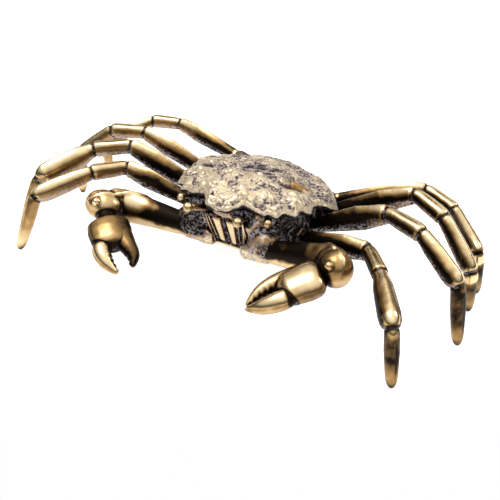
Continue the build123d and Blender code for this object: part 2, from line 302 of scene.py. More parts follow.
# Shins darker by painted reflection, and thicker, by leg number and side
shin_tones = {(0, 1): 0.34, (1, 1): 0.12}
shin_girths = {(0, 1): 1.22, (1, 1): 1.08, (1, -1): 1.4, (0, -1): 1.08}
# Where the shin and the toe start and end, in segments
shin_start, shin_end, toe_start = (2.02, 2.3), (3.0, 2.86), (3.0, 3.1)
# Lines between segments: depth and height as shares of the girth, widths in mm
groove_depth_share, groove_width = 0.12, 0.20
lip_height_share, lip_width = 0.03, 0.40
joint_line_width = 0.24
# In mm: steps between rings, bends, the dark root (patina and painted shade near the body), the
# light tip and the round toe
ring_step = 0.2
bend_reach = 1.3
root_tone, root_reach = 0.85, (14.0, 1.0)
tip_reach = (5.5, 1.4)
toe_round, toe_least = 0.7, 0.001
# Size and height of grain and of slow dents
leg_grain, leg_dents = (0.5, 0.02), (2.2, 0.03)


def leg_line(corners):
    """Points along a leg with its corners rounded, and the place of each along its segments."""
    lengths = np.linalg.norm(np.diff(corners, axis=0), axis=1)
    starts = np.concatenate(([0], np.cumsum(lengths)))
    along = np.arange(0, starts[-1] + toe_round, ring_step)
    places = np.interp(along, starts, np.arange(len(corners)))
    last_axis = unit(corners[-1] - corners[-2])
    beyond = np.clip(along - starts[-1], 0, None)
    points = np.array([np.interp(along, starts, corners[:, axis]) for axis in range(3)]).T
    points += np.outer(beyond, last_axis)
    for joint in range(1, len(corners) - 1):
        near = np.abs(along - starts[joint]) < bend_reach
        turn = (along[near] - starts[joint] + bend_reach) / (2 * bend_reach)
        before = corners[joint] - unit(corners[joint] - corners[joint - 1]) * bend_reach
        after = corners[joint] + unit(corners[joint + 1] - corners[joint]) * bend_reach
        weights = np.array(((1 - turn) ** 2, 2 * turn * (1 - turn), turn**2)).T
        points[near] = weights @ np.array((before, corners[joint], after))
    return points, along, places, starts


def leg_rings(number, side):
    """A leg's rings, and how dark and how far into the toe each ring is."""
    girth = leg_girth_shares[number]
    points, along, places, starts = leg_line(leg_corners(number, side))
    height, thickness, top, bottom, furrow = stations(leg_stations, places)
    shin = fade(*shin_start, places) * fade(*shin_end, places)
    swell = 1 + (shin_girths.get((number, side), 1.0) - 1) * shin
    for joint in starts[1:-1]:
        swell -= groove_depth_share * bump(along - joint, groove_width)
        swell += lip_height_share * bump(along - joint + 2 * groove_width, lip_width)
    to_end = np.clip((along[-1] - along) / (2 * toe_round), 0, 1)
    swell *= np.sqrt(np.clip(1 - (1 - to_end) ** 2, toe_least, 1))
    shapes = zip(thickness * girth * swell, height * girth * swell, top, bottom, furrow)
    joint_line = sum(bump(along - joint, joint_line_width) for joint in starts[1:-1])
    # Toward the body the leg darkens: patina and painted shade under the shell
    root_shade = root_tone * fade(*root_reach, along)
    toe = fade(*toe_start, places)
    tip = fade(*tip_reach, along[-1] - along)
    shade = np.maximum(joint_line, root_shade) + toe_tones[side] * toe - tip_light * tip
    # Painted reflection darkens the left shins
    shade += shin_tones.get((number, side), 0.0) * shin
    return limb(points, shapes), shade, toe


def make_leg(number, side, name):
    rings, shade, toe = leg_rings(number, side)
    points, faces = skin(rings)
    shade, toe = (
        np.append(np.repeat(each, around_limb), (each[0], each[-1])) for each in (shade, toe)
    )
    relief = 0
    for (size, height), seed in ((leg_grain, number + 3 * side), (leg_dents, number - side)):
        relief = relief + height * noise_at(points, size, seed)
    points[:, 2] = np.clip(points[:, 2] + relief, 0, None)
    return mesh_object(name, points, faces), shade, toe


legs = {}
for side_name, side in sides.items():
    for number in range(len(leg_girth_shares)):
        name = f"leg_{number + 1}_{side_name}"
        legs[name] = make_leg(number, side, f"cast_{name}")
print("legs made:", len(legs))

# %% [markdown]
# ## The claws
#
# A claw is an upper arm that ends in a round wrist, a smooth swollen hand that runs out into the
# fixed finger, and a movable finger's casting beside it. Arm and wrist are two overlapping closed
# forms, which a voxel remesh melts into one skin, the way a wax model is joined.

# %% Melting forms together
bulb_rows = 40
pole_gap = 0.02


def relax(points, edges, rounds, strength=0.5):
    """Moves each point towards the mean of its neighbours."""
    degree = np.bincount(edges.ravel(), minlength=len(points))[:, None]
    for _ in range(rounds):
        total = np.zeros_like(points)
        for axis in range(3):
            for here, there in (edges.T, edges.T[::-1]):
                total[:, axis] += np.bincount(here, points[there, axis], len(points))
        points = points + strength * (total / degree - points)
    return points


def mesh_arrays(mesh):
    """Points in millimetres, edges and normals of a mesh."""
    points = np.empty(len(mesh.vertices) * 3)
    mesh.vertices.foreach_get("co", points)
    edges = np.empty(len(mesh.edges) * 2, int)
    mesh.edges.foreach_get("vertices", edges)
    normals = np.empty(len(mesh.vertices) * 3)
    mesh.vertices.foreach_get("normal", normals)
    return points.reshape(-1, 3) / mm, edges.reshape(-1, 2), normals.reshape(-1, 3)


def set_points(mesh, points):
    mesh.vertices.foreach_set("co", (points * mm).ravel())
    mesh.update()


def melt(piece, voxel, rounds):
    """Voxel remesh of a piece, applied, then smoothed."""
    remesh = piece.modifiers.new("Melt", "REMESH")
    remesh.mode = "VOXEL"
    remesh.voxel_size = voxel * mm
    shown = piece.evaluated_get(bpy.context.evaluated_depsgraph_get())
    melted = bpy.data.meshes.new_from_object(shown)
    piece.modifiers.clear()
    piece.data = melted
    points, edges, _ = mesh_arrays(melted)
    set_points(melted, relax(points, edges, rounds))
    melted.polygons.foreach_set("use_smooth", [True] * len(melted.polygons))
    return piece


def joined(name, skins):
    """One object from several closed skins."""
    points = np.vstack([part[0] for part in skins])
    faces = []
    start = 0
    for part_points, part_faces in skins:
        faces += [tuple(corner + start for corner in face) for face in part_faces]
        start += len(part_points)
    return mesh_object(name, points, faces)


def bulb(centre, radius, axis):
    """Closed ball of rings about an axis."""
    turns = np.linspace(pole_gap, pi - pole_gap, bulb_rows)
    centres = centre - np.outer(np.cos(turns) * radius, axis)
    shapes = [(2 * radius * sin(turn), 2 * radius * sin(turn), 2, 2, 0) for turn in turns]
    level = level_of(axis)
    return skin(np.array([ring(c, axis, level, shape) for c, shape in zip(centres, shapes)]))


def through(stops, count):
    """Smooth curve of so many points through a few stops."""
    stops = np.array(stops, float)
    padded = np.vstack((stops[:1], stops, stops[-1:]))
    slopes = (padded[2:] - padded[:-2]) / 2
    places = np.linspace(0, len(stops) - 1, count)
    step = np.minimum(places.astype(int), len(stops) - 2)
    share = (places - step)[:, None]
    return (
        stops[step] * (1 + 2 * share) * (1 - share) ** 2
        + slopes[step] * share * (1 - share) ** 2
        + stops[step + 1] * share**2 * (3 - 2 * share)
        + slopes[step + 1] * share**2 * (share - 1)
    )


# %% Claw sizes
# Where an arm leaves the body, its length, heading and rises, and how deep and how level it starts
arm_root = (7.6, -4.2, 6.4)
arm_length = 10.9
arm_heading = -10.0
arm_rises = {1: 15.0, -1: 7.0}
arm_bury = 0.4
arm_bury_rise = 8.0
# The wrist's step from the arm's end, its radius, and its stretch along x, y and z
wrist_steps = {1: (2.6, -2.6, 1.3), -1: (2.7, -2.7, 0.8)}
wrist_radius = 2.5
wrist_stretches = {1: (1.0, 1.0, 1.12), -1: (1.3, 1.05, 1.0)}
# Heading and rise of a hand, its distance from the wrist, its length and its rounded ends
hand_angles = (-137.5, -19.0)
hand_set_backs = {1: 1.6, -1: 3.3}
hand_lengths = {1: 7.4, -1: 6.2}
hand_roundings = {1: 1.9, -1: 1.1}


def claw_frame(side):
    """Arm's end, wrist, hand's start, its axis and the way from fixed to movable finger."""
    arm_end = at(*arm_root, side) + direction(arm_heading, arm_rises[side], side) * arm_length
    wrist = arm_end + at(*wrist_steps[side], side)
    axis = direction(*hand_angles, side)
    return arm_end, wrist, wrist + axis * hand_set_backs[side], axis, level_of(axis) * side


# %% Arms with round wrists
arm_rings = 70
wart_way, wrist_wart_radius = (-0.1, -0.75, 0.65), 0.7
collar_radius, collar_set_back = 1.5, 0.6
# Voxel size and rounds of smoothing
arm_melt = (0.16, 4)
# The wrist's cut groove: distance from the arm's end, width and depth, and its dark
wrist_groove = (0.9, 0.3, 0.28)
groove_tone, groove_tone_width = 0.8, 0.45
# Distances from the wrist's ball where the groove starts and is full
wrist_skin = (1.6, 0.2)
# The wrist's ridge: step from its middle, width and height, and the slopes that carry it
wrist_ridge = (0.5, 0.35, 0.22)
ridge_slopes = (0.2, 0.8)
# How far from its root an arm is dark, as patina and painted shade under the shell, how that fades,
# and how much less of it is dark on top, as a painted highlight
dark_arm_ends, dark_arm_fade = {1: 13.8, -1: 12.6}, 7.0
arm_top_lights, arm_top_heights = {1: 0.0, -1: 2.2}, (0.5, 2.4)
# Height, size and seed of the noise that breaks up the dark's end and its lower edge
dark_end_noise, lower_edge_noise = (2.2, 1.8, 6.0), (0.35, 1.0, 2.0)
# The bright lower edge, a painted reflection of the floor: heights over the arm's axis, what it
# clears away, and its light
lower_edge_heights, lower_edge_clearing, lower_edge_light = (0.4, -0.8), 0.9, 0.2
# Painted shade on the wrist, more on the left, and painted shadow where the hand sits on it
wrist_tones, wrist_reach = {1: 0.45, -1: 0.2}, (-1.0, 1.5)
hand_seat_tone, hand_seat_reach = 1.2, (2.3, 1.6)
# Share along the arm; height and thickness in mm; top and bottom sharpness
arm_stations = (
    (0.00, 3.4, 3.2, 1.9, 2.0),
    (0.25, 4.6, 4.0, 1.8, 1.9),
    (0.50, 6.0, 4.7, 1.5, 1.8),
    (0.72, 5.7, 4.6, 1.6, 1.8),
    (0.80, 4.6, 4.0, 1.9, 2.0),
    (1.00, 3.4, 3.2, 2.0, 2.0),
)


def arm_shade(own, side, groove_dark):
    """How dark each point of an arm is: dark from the root on, as patina and painted shade, bright
    along the lower edge as painted reflection, with painted shade at the wrist and where the hand
    sits.
    """
    heading = direction(arm_heading, arm_rises[side], side)
    from_root = (own - at(*arm_root, side)) @ heading
    from_axis = own[:, 2] - (arm_root[2] + from_root * heading[2])
    above = from_axis + noises(own, [lower_edge_noise])
    broken = from_root + noises(own, [dark_end_noise])
    broken = broken + arm_top_lights[side] * fade(*arm_top_heights, above)
    shade = fade(dark_arm_ends[side], dark_arm_ends[side] - dark_arm_fade, broken)
    lower_edge = fade(*lower_edge_heights, above)
    shade = shade * (1 - lower_edge_clearing * lower_edge) - lower_edge_light * lower_edge
    wrist_start, wrist_full = (arm_length + reach for reach in wrist_reach)
    shade += wrist_tones[side] * fade(wrist_start, wrist_full, from_root)
    from_hand = np.linalg.norm(own - claw_frame(side)[2], axis=1)
    shade += hand_seat_tone * fade(*hand_seat_reach, from_hand)
    return shade + groove_tone * groove_dark


def make_arm(side, name):
    arm_end, wrist, start, hand_axis, _ = claw_frame(side)
    inner = at(*arm_root, side) - direction(0, -arm_bury_rise, side) * arm_bury
    centres = through((inner, arm_end, wrist), arm_rings)
    places = np.linspace(0, 1, arm_rings)
    height, thickness, top, bottom = stations(arm_stations, places)
    arm = skin(limb(centres, zip(thickness, height, top, bottom, np.zeros(arm_rings))))
    wrist_axis = unit(wrist - arm_end)
    ball_points, ball_faces = bulb(wrist, wrist_radius, wrist_axis)
    ball = (wrist + (ball_points - wrist) * wrist_stretches[side], ball_faces)
    collar = bulb(start - hand_axis * collar_set_back, collar_radius, hand_axis)
    wart_step = at(*wart_way, side)
    wart = bulb(wrist + wart_step * wrist_radius, wrist_wart_radius, unit(wart_step))
    piece = melt(joined(name, (arm, ball, collar, wart)), *arm_melt)
    points, _, normals = mesh_arrays(piece.data)
    own = points - shift
    off_ball = np.linalg.norm(own - wrist, axis=1) - wrist_radius
    on_wrist = fade(*wrist_skin, np.abs(off_ball))
    groove_place, width, depth = wrist_groove
    from_groove = (own - arm_end) @ wrist_axis - groove_place
    groove = depth * bump(from_groove, width) * on_wrist
    ridge_step, width, lift = wrist_ridge
    from_ridge = (own - wrist) @ unit(np.cross(wrist_axis, (0, 0, 1))) + ridge_step
    ridge = lift * bump(from_ridge, width) * fade(*ridge_slopes, normals[:, 2])
    set_points(piece.data, points + normals * (ridge - groove)[:, None])
    return piece, arm_shade(own, side, bump(from_groove, groove_tone_width) * on_wrist)


arms = {name: make_arm(side, f"cast_claw_arm_{name}") for name, side in sides.items()}
print("arm points:", {name: len(arm.data.vertices) for name, (arm, _) in arms.items()})

# %% Hands with the fixed finger
# How dark each hand is, darker on the right as painted shade, and its shares all over and on top of
# that on the fixed finger's side
hand_tones = {1: 0.15, -1: 0.58}
tone_even, tone_outer, outer_reach = 0.85, 0.4, (-0.5, 2.0)
# Painted shade around the movable finger's seat, at the wrist and on the movable finger's own root
seat_tone, seat_tone_reach = 0.9, (2.3, 1.9)
palm_start_tone, palm_start_reach = 0.7, (0.9, 0.2)
finger_root_reach = (6.6, 6.0)
# Share along the hand; width and height in mm
palm_stations = (
    (0.00, 5.4, 3.9),
    (0.12, 6.6, 4.3),
    (0.40, 7.0, 4.6),
    (0.75, 6.4, 4.1),
    (1.00, 4.6, 3.0),
)
palm_rings, palm_top, palm_bottom = 60, 1.9, 2.0
hand_melt = (0.12, 5)
# Stops of each finger: distance along the hand, step across it from the middle and step up
fixed_finger_stops = ((3.4, -1.3, 0.1), (6.9, -1.85, 0.1), (9.7, -1.5, 0.0), (12.1, -0.35, -0.3))
movable_finger_stops = ((5.5, 1.7, 0.0), (7.4, 1.95, 0.1), (9.9, 1.55, 0.0), (12.3, 0.25, -0.3))
# Width and height at each stop
fixed_finger_sizes = ((4.2, 3.6), (3.0, 3.0), (2.0, 2.2), (0.6, 0.7))
movable_finger_sizes = ((2.7, 2.8), (2.9, 3.0), (2.1, 2.3), (0.6, 0.7))
# The right claw gapes more and is shorter
fixed_tip_spreads, spread_reach = {1: 0.0, -1: 1.9}, (5.0, 13.0)
fixed_length_shares = {1: 1.0, -1: 0.82}
movable_length_shares = {1: 1.0, -1: 0.86}
finger_rings, finger_sharpness, finger_rounding = 64, 1.8, (8.0, 0.8)
# Teeth: pitch and height, where along the finger they start, and how far they reach round it
tooth_pitch, tooth_height = 0.9, 0.22
tooth_start, tooth_facing = (7.0, 7.8), (0.3, 0.95)
# The movable finger's seat: place along and across the hand, depth, reach, and the press's lean
seat_place, seat_depth, seat_reach, seat_lean = (6.7, 2.0), 0.51, (1.9, 1.2), -0.8
seat_height_share = 1.2


def finger_skin(start, axis, across, stops, sizes):
    """Curved pointed finger with blunt teeth along its inner side."""
    upward = np.cross(axis, across) * (1 if np.cross(axis, across)[2] > 0 else -1)
    places = [start + axis * along + across * step + upward * rise for along, step, rise in stops]
    centres = through(places, finger_rings)
    widths, heights = through(sizes, finger_rings).T
    ends = rounded_ends(np.linspace(0, 1, finger_rings), *finger_rounding)
    sharpness = (finger_sharpness, finger_sharpness, 0)
    shapes = [(w * end, h * end, *sharpness) for w, h, end in zip(widths, heights, ends)]
    rings = limb(centres, shapes)
    inward = -across * np.sign(stops[1][1])
    along = (rings - start) @ axis
    outwards = ((rings - centres[:, None]) @ inward) / (widths / 2)[:, None]
    facing = fade(*tooth_facing, outwards)
    teeth = tooth_height * np.clip(np.sin(along * 2 * pi / tooth_pitch), 0, 1) * facing
    teeth *= fade(*tooth_start, along)
    return skin(rings + teeth[..., None] * inward)


def make_hand(side, name):
    _, _, start, axis, across = claw_frame(side)
    places = np.linspace(0, 1, palm_rings)
    width, height = stations(palm_stations, places)
    hand_length = hand_lengths[side]
    ends = rounded_ends(places, hand_length, hand_roundings[side])
    centres = start + np.outer(places * hand_length, axis)
    shapes = [(w, h, palm_top, palm_bottom, 0) for w, h in zip(width * ends, height * ends)]
    palm = skin(limb(centres, shapes))
    spread, reach = fixed_tip_spreads[side], fixed_length_shares[side]
    stops = [
        (along * reach, step - spread * fade(*spread_reach, along), rise)
        for along, step, rise in fixed_finger_stops
    ]
    finger = finger_skin(start, axis, across, stops, fixed_finger_sizes)
    piece = melt(joined(name, (palm, finger)), *hand_melt)
    points, _, _ = mesh_arrays(piece.data)
    own = points - shift - start
    seat_along, seat_across = seat_place
    from_seat = own - (axis * seat_along * movable_length_shares[side] + across * seat_across)
    hollow = seat_depth * fade(*seat_reach, np.linalg.norm(from_seat, axis=1))
    set_points(piece.data, points - np.outer(hollow, unit(axis * seat_lean + across)))
    # Painted shade at the seat and at the wrist, and all over, heavier on the right hand
    to_seat = np.linalg.norm(from_seat * (1, 1, seat_height_share), axis=1)
    shade = seat_tone * fade(*seat_tone_reach, to_seat)
    shade += palm_start_tone * fade(*palm_start_reach, own @ axis)
    shade += hand_tones[side] * (tone_even + tone_outer * fade(*outer_reach, -(own @ across)))
    return piece, shade


def make_finger(side, name):
    _, _, start, axis, across = claw_frame(side)
    reach = movable_length_shares[side]
    stops = [(along * reach, step, rise) for along, step, rise in movable_finger_stops]
    points, faces = finger_skin(start, axis, across, stops, movable_finger_sizes)
    # The root, which sits in the seat, is darkened as painted shade
    root_dark, root_full = (end * reach for end in finger_root_reach)
    shade = fade(root_dark, root_full, (points - start) @ axis)
    return mesh_object(name, points, faces), shade


hands = {name: make_hand(side, f"cast_claw_hand_{name}") for name, side in sides.items()}
fingers = {name: make_finger(side, f"cast_claw_finger_{name}") for name, side in sides.items()}
print("hands and fingers made:", len(hands) + len(fingers))

# %% [markdown]
# ## The shell
#
# The shell is a low cap with a toothed edge. Its back is rough casting with pale buffed islands and
# round warts over dark speckle. A disc of rings about the shell's middle is lifted to the dome, and
# noise with a soft threshold gives the islands real height, so the buffing can follow the relief.

# %% The toothed outline
dome_radius = 28.0
dome_top_z = 15.4
dome_centre_y = 1.0
shell_thickness = 1.3
shell_outline_shares = (
    (0.00, 0.00), (0.15, 0.01), (0.18, 0.06), (0.25, 0.115), (0.36, 0.115), (0.45, 0.12),
    (0.53, 0.16), (0.63, 0.14), (0.63, 0.235), (0.79, 0.26), (0.75, 0.33), (0.86, 0.375),
    (0.81, 0.47), (1.00, 0.66), (0.84, 0.80), (0.66, 0.95), (0.50, 0.985), (0.00, 1.00),
)
outline_middle = np.array((0.0, shell_front_y + 0.52 * shell_length))
around_shell, shell_rows, under_rows = 640, 110, 30
shell_angle = np.arange(around_shell) * 2 * pi / around_shell
tiny = 1e-6
# Blur of the edge and of the calm middle, in steps round the edge
edge_blur, calm_blur = 4, 14
# Shares of the way out: the first ring, the power that crowds rings at the edge, the teeth's start
first_ring, ring_power, teeth_start = 0.004, 0.8, 0.72
# The underside: step in from the edge, first and last share, and thickness at the edge
under_inset, under_first, under_last, edge_thickness = 0.15, 0.995, 0.02, 1.1


def outline_radius():
    """Distance from the shell's middle to its edge in each direction."""
    half = np.array(shell_outline_shares) * (shell_half_width, shell_length) + (0, shell_front_y)
    mirror = half[::-1] * (-1, 1)
    corners = np.vstack((half, mirror[1:-1])) - outline_middle
    edge = np.roll(corners, -1, axis=0) - corners
    ray_x, ray_y = np.cos(shell_angle)[:, None], np.sin(shell_angle)[:, None]
    cross = ray_x * edge[:, 1] - ray_y * edge[:, 0]
    cross = np.where(np.abs(cross) < tiny, tiny, cross)
    reach = (corners[:, 0] * edge[:, 1] - corners[:, 1] * edge[:, 0]) / cross
    share = (corners[:, 0] * ray_y - corners[:, 1] * ray_x) / cross
    return np.where((reach > 0) & (np.abs(share - 0.5) <= 0.5 + tiny), reach, 0).max(1)


def blurred(values, width):
    kernel = bump(np.arange(-3 * width, 3 * width + 1), width)
    ring_values = np.concatenate((values[-3 * width :], values, values[: 3 * width]))
    return np.convolve(ring_values, kernel / kernel.sum(), "valid")


def dome_height(x, y):
    return dome_top_z - dome_radius + np.sqrt(dome_radius**2 - x**2 - (y - dome_centre_y) ** 2)


edge_radius = outline_radius()
print("shell edge from its middle:", edge_radius.min().round(1), edge_radius.max().round(1))

# %% [markdown]
# The relief of the back is a sum: broad swellings, islands, marks at their places, round warts,
# cracks and fine grain. A mark is a lens-shaped swelling with a groove at its foot, a broad lump or
# a furrow. One brown stain tops the left lens. The front edge has a cut groove beside its teeth.

# %% The shell's relief
# Pairs, one on each side: middle, reach along and across in mm, turn in degrees, height in mm and
# how dark the mark is; the dark of the groove below the lens is a painted shadow
shell_marks = (
    (7.7, 3.5, 1.7, 0.75, 12, 0.6, 0.1),
    # The groove at the lens's foot, darkened as a painted shadow
    (7.9, 2.5, 1.7, 0.26, 12, -0.4, 0.6),
    (2.1, 0.7, 1.1, 1.1, 0, 0.4, -0.1),
    (3.0, -4.1, 1.3, 1.1, 0, 0.25, -0.1),
    (5.9, -1.8, 1.5, 1.2, 0, 0.3, -0.1),
    (0.9, 4.7, 2.8, 0.8, -34, -0.5, 0.15),
    (3.0, 5.3, 0.35, 1.7, -20, -0.3, 0.3),
    (5.5, 9.0, 3.2, 2.8, 0, -0.8, 0.0),
    (11.3, 7.6, 1.8, 2.2, 0, 0.4, 0.0),
    (0.0, 4.6, 3.2, 0.5, 0, -0.2, 0.2),
    (9.6, 0.2, 1.3, 1.1, 0, 0.25, -0.1),
)
# The marks' darkness on the right side, as a share of that on the left
far_mark_share = 0.35
# Marks narrower than this are buffed when raised and left rough when sunk
small_mark, raised_buff, sunk_buff = 1.5, 0.9, -0.6
stain_place = (7.9, 3.6)
stain_reach = (1.8, 1.0)
# A raised ring: middle, radius, width and height in mm
ring_mark = (-1.0, -6.6, 0.75, 0.2, 0.15)
# Round warts in pairs: shares of the shell's half width and length
wart_shares = (
    (0.22, 0.16), (0.46, 0.26), (0.24, 0.36), (0.60, 0.42), (0.40, 0.52), (0.12, 0.24),
    (0.72, 0.60), (0.52, 0.72), (0.34, 0.18), (0.68, 0.34), (0.14, 0.48), (0.82, 0.66),
)
wart_radius, wart_core_share, wart_height = 0.75, 0.3, 0.32
# Islands: cell size, middle and weight, height, and the sums where they start and are full
island_size = 2.2
cell_middle, cell_weight = 0.42, 1.3
island_height = 0.25
island_sums = (-0.3, 0.1)
# More of the front is island: the place and reach of that in mm, its weight, and the rest's loss
front_place, front_reach, front_weight, back_loss = -5.5, 3.0, 0.42, 0.03
# Sums of noise as shares or heights in mm, sizes in mm and seeds
lump_noises = ((0.6, 1.7, 4.0), (0.4, 0.8, 9.0))
swell_noises = ((0.42, 4.5, 3.0), (0.02, 0.3, 1.0))
crack_size, crack_width, crack_depth, crack_share = 1.2, 0.04, 0.08, 0.75
# Groove beside the front edge, and the rounding down to the edge: insets, depths in mm
groove_inset, groove_half, groove_depth, groove_front = 0.6, 0.14, 0.12, (-2.0, -5.0)
edge_inset, edge_drop, edge_power, edge_buffed = 1.2, 0.85, 1.6, (0.9, 0.4)


def shell_relief(x, y, inset):
    """Height above the dome, how much is buffed island, how dark the marks are, and the stain."""
    places = np.column_stack((x, y, np.zeros_like(x)))
    cells = np.array([noise.voronoi(Vector(place) / island_size)[0][0] for place in places])
    lumps = noises(places, lump_noises) + cell_weight * (cell_middle - cells)
    lumps += front_weight * bump(y - front_place, front_reach) - back_loss
    island = fade(*island_sums, lumps)
    cracks = bump(noise_at(places, crack_size, 11.0), crack_width)
    height = island_height * island + noises(places, swell_noises) - crack_depth * cracks
    shade = np.zeros_like(x)
    for mark_x, mark_y, reach, spread, turn, lift, darkness in shell_marks:
        right, back = np.abs(x) - mark_x, y - mark_y
        along = right * cos(radians(turn)) + back * sin(radians(turn))
        across = back * cos(radians(turn)) - right * sin(radians(turn))
        weight = bump(np.hypot(along / reach, across / spread), 1.0)
        height += lift * weight
        shade += darkness * weight * np.where(x > 0, 1.0, far_mark_share)
        if spread < small_mark:
            buff = raised_buff if lift > 0 else sunk_buff
            island = np.clip(island + buff * weight, 0, 1)
    for x_share, y_share in wart_shares:
        wart_x, wart_y = x_share * shell_half_width, shell_front_y + y_share * shell_length
        away = np.hypot(np.abs(x) - wart_x, y - wart_y)
        weight = fade(wart_radius, wart_core_share * wart_radius, away)
        height += wart_height * weight
        island = np.maximum(island, weight)
    ring_x, ring_y, ring_radius, ring_width, ring_height = ring_mark
    ring_weight = bump(np.hypot(x - ring_x, y - ring_y) - ring_radius, ring_width)
    edge_groove = bump(inset - groove_inset, groove_half) * fade(*groove_front, y)
    height += ring_height * ring_weight - groove_depth * edge_groove
    island = np.clip(island + fade(*edge_buffed, inset) - edge_groove, 0, 1)
    height -= edge_drop * np.clip(1 - inset / edge_inset, 0, 1) ** edge_power
    off_stain = (np.column_stack((x, y)) - stain_place) / stain_reach
    stain = bump(np.linalg.norm(off_stain, axis=1), 1.0)
    return height, np.clip(island - crack_share * cracks, 0, 1), shade, stain


def make_shell():
    """The shell's mesh, and its island, shade and stain masks at every point."""
    edge = blurred(edge_radius, edge_blur)
    calm = blurred(edge, calm_blur)

    def from_middle(radius):
        ways = np.cos(shell_angle), np.sin(shell_angle)
        return [middle + radius * way for middle, way in zip(outline_middle, ways)]

    share = np.linspace(first_ring, 1, shell_rows)[:, None] ** ring_power
    radius = share * (calm + (edge - calm) * fade(teeth_start, 1.0, share))
    x, y = from_middle(radius)
    height, *kept = shell_relief(x.ravel(), y.ravel(), (edge - radius).ravel())
    upper = np.stack((x, y, dome_height(x, y) + height.reshape(x.shape)), axis=-1)
    share = np.linspace(1, under_last, under_rows)[:, None]
    drop = np.full_like(share, shell_thickness)
    share[0], drop[0] = under_first, edge_thickness
    x, y = from_middle(share * (edge - under_inset))
    under = np.stack((x, y, dome_height(x, y) - drop), axis=-1)
    points, faces = skin(np.concatenate((upper, under)))
    piece = mesh_object("cast_shell", points, faces)
    masks = np.zeros((3, len(points)))
    masks[:, : len(height)] = kept
    return piece, *masks


shell, shell_island, shell_shade, shell_stain = make_shell()
print("shell points:", len(shell.data.vertices))

# %% [markdown]
# ## The body and the small castings
#
# The body, mouth plates, flap, eyes and knobs keep the shapes of their solids, but no casting is as
# crisp as a solid. A copy of each is remeshed into small even faces, rounded, and roughened.

# %% Copies that look cast
# An eye's hollow: its middle sideways and up, depth, and the distances where it starts and is full
orbit_place = (3.5, 12.0)
orbit_depth = 0.9
orbit_reach = (2.2, 1.2)
orbit_noise = (0.2, 0.8, 3.0)
front_facing = -0.3
# The body's swelling over an arm's root, and how dark it is on each side, the right's dark being
# painted shade
shoulder_place = (6.9, -3.2, 7.1)
shoulder_reach = (3.3, 2.9, 2.7)
shoulder_tones = {1: 0.0, -1: 0.9}
# Height and size of the finer lumps, as shares of the coarser ones
fine_height, fine_size = 0.6, 0.4
# Voxel size, rounds of smoothing, height of the roughness and size of its lumps
cast_grains = {
    "body": (0.22, 14, 0.11, 1.3),
    "belly_flap": (0.12, 4, 0.05, 0.8),
    "eye": (0.07, 3, 0.03, 0.4),
    "feeler_knob": (0.06, 3, 0.03, 0.4),
}


def orbit_distance(own):
    """Distance from the middle of the nearer eye's hollow, seen from the front."""
    away = np.hypot(np.abs(own[:, 0]) - orbit_place[0], own[:, 2] - orbit_place[1])
    return away + noises(own, [orbit_noise])


def cast_copy(node, extra=()):
    """A solid's copy with rounded edges and a rough skin, with more closed skins melted in."""
    voxel, rounds, roughness, lump = cast_grains[node.removesuffix("_left").removesuffix("_right")]
    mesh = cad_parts[node].data.copy()
    if extra:
        addition = joined("addition", extra)
        shape = bmesh.new()
        shape.from_mesh(mesh)
        shape.from_mesh(addition.data)
        shape.to_mesh(mesh)
        shape.free()
        bpy.data.objects.remove(addition)
    piece = melt(new_object(f"cast_{node}", mesh), voxel, rounds)
    points, _, normals = mesh_arrays(piece.data)
    lumps = ((1.0, lump, 5.0), (fine_height, fine_size * lump, 8.0))
    lift = roughness * noises(points, lumps)
    set_points(piece.data, points + normals * lift[:, None])
    return piece


def shoulder(side):
    """Swelling of the body over an arm's root."""
    middle = at(*shoulder_place, side)
    points, faces = bulb(middle, 1.0, at(1, 0, 0))
    return middle + (points - middle) * shoulder_reach, faces


small = {"body": cast_copy("body", [shoulder(side) for side in sides.values()])}
for name in ("belly_flap", "eye_left", "feeler_knob_left", "eye_right", "feeler_knob_right"):
    small[name] = cast_copy(name)
points, _, normals = mesh_arrays(small["body"].data)
faces_front = normals[:, 1] < front_facing
hollow = orbit_depth * fade(*orbit_reach, orbit_distance(points - shift)) * faces_front
set_points(small["body"].data, points - normals * hollow[:, None])
print("small castings:", sorted(small))

# %% [markdown]
# Each mouth plate carries a broad smooth tongue beside the middle, then a thin rib that runs down
# and inwards over a sunken black ground, then a cheek. Each is a lifted grid with a back and sides.

# %% Mouth plates
face_top = (0.0, -6.4, 13.5)
face_rake = 19.0
plate_inner, plate_outer = 0.15, 3.45
plate_top, plate_bottom = 3.0, 9.5
plate_back = 0.6
plate_columns, plate_rows = 90, 110
# Distances from the middle at the top and at the bottom of the plate
tongue_inner = (0.40, 0.55)
tongue_outer = (2.05, 1.55)
rib_line = (2.70, 1.95)
cheek_line = (3.15, 2.50)
# Shares of the way down: where the tongue and the rib start, where they end, where the rim starts
top_reach, foot_reach, rim_reach = (0.0, 0.05), (0.89, 0.80), (0.92, 0.96)
# The foot is rounded: its middle and half width in mm, and its rise at that half width
foot_middle, foot_half, foot_rise = 1.0, 0.8, 0.05
ground_depth = 0.2
tongue_height = 0.55
rib_height = 0.45
rib_width = 0.12
cheek_height = 0.45
edge_softness, outer_softness = 0.25, 0.4
# How dark the ground is, what the raised parts lose of that, and the heights between
ground_tone, raised_light, raised_heights = 0.95, 0.9, (-0.1, 0.2)


